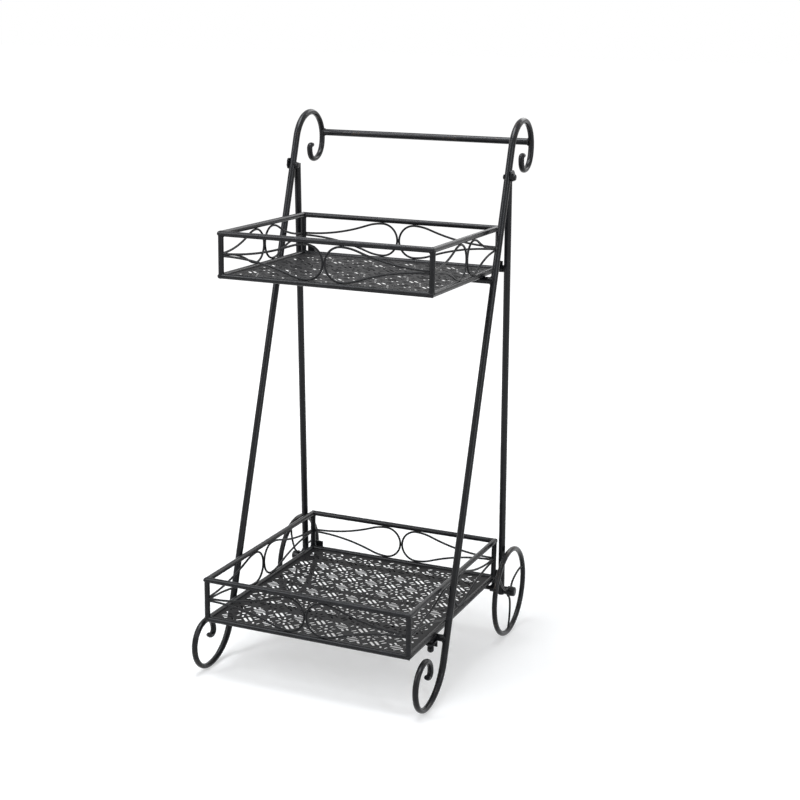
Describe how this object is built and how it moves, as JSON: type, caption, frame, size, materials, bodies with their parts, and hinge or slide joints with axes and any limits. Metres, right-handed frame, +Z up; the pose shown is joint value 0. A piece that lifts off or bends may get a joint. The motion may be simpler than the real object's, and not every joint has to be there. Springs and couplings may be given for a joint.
{
  "type": "flower cart stand",
  "caption": "Two-tier folding flower cart in black bar: scrolled front legs and handlebar, hinged rear frame, two tip-up baskets with pierced floors, and spoked rear wheels.",
  "frame": {"origin": "centre of the footprint at floor level", "axes": "+Z up, +Y towards the wheels and handlebar, -Y towards the curled front feet, +X to the right seen from the front"},
  "size_m": [0.4878, 0.5335, 1.0008],
  "materials": {
    "black_paint": "satin",
    "dark_hardware": "satin"
  },
  "bodies": {
    "front_frame": {"front_leg_left": "black_paint", "front_leg_right": "black_paint", "handlebar": "black_paint", "front_crossbar_upper": "black_paint", "front_crossbar_lower": "black_paint", "pivot_bolts": "dark_hardware", "pivot_dome_nuts": "dark_hardware"},
    "rear_frame": {"rear_leg_left": "black_paint", "rear_leg_right": "black_paint", "rear_crossbar": "black_paint", "axle_rod": "black_paint", "pivot_lugs": "black_paint", "axle_spacers": "black_paint", "axle_caps": "dark_hardware"},
    "upper_basket": {"upper_top_frame": "black_paint", "upper_bottom_frame": "black_paint", "upper_corner_posts": "black_paint", "upper_front_scrollwork": "black_paint", "upper_back_scrollwork": "black_paint", "upper_left_scrollwork": "black_paint", "upper_right_scrollwork": "black_paint", "upper_tray": "black_paint", "upper_hinge_straps": "black_paint"},
    "lower_basket": {"lower_top_frame": "black_paint", "lower_bottom_frame": "black_paint", "lower_corner_posts": "black_paint", "lower_front_scrollwork": "black_paint", "lower_back_scrollwork": "black_paint", "lower_left_scrollwork": "black_paint", "lower_right_scrollwork": "black_paint", "lower_tray": "black_paint", "lower_tray_brace": "black_paint", "lower_hinge_straps": "black_paint", "stop_brackets": "black_paint", "stop_studs": "dark_hardware", "stop_dome_nuts": "dark_hardware"},
    "wheel_left": {"wheel_rim_left": "black_paint", "wheel_spokes_left": "black_paint", "wheel_hub_left": "black_paint"},
    "wheel_right": {"wheel_rim_right": "black_paint", "wheel_spokes_right": "black_paint", "wheel_hub_right": "black_paint"}
  },
  "joints": [
    {"name": "frame_fold", "type": "hinge", "parent": "front_frame", "child": "rear_frame", "pos_m": [0, 0.12604, 0.8985], "axis": [-1, 0, 0], "range_deg": [0, 19.5]},
    {"name": "upper_basket_tip", "type": "hinge", "parent": "rear_frame", "child": "upper_basket", "pos_m": [0, 0.14837, 0.7283], "axis": [-1, 0, 0], "range_deg": [0, 82]},
    {"name": "lower_basket_tip", "type": "hinge", "parent": "rear_frame", "child": "lower_basket", "pos_m": [0, 0.17844, 0.0886], "axis": [-1, 0, 0], "range_deg": [0, 85]},
    {"name": "wheel_left_spin", "type": "hinge", "parent": "rear_frame", "child": "wheel_left", "pos_m": [-0.2334, 0.17844, 0.0886], "axis": [-1, 0, 0], "continuous": true},
    {"name": "wheel_right_spin", "type": "hinge", "parent": "rear_frame", "child": "wheel_right", "pos_m": [0.2334, 0.17844, 0.0886], "axis": [-1, 0, 0], "continuous": true}
  ]
}
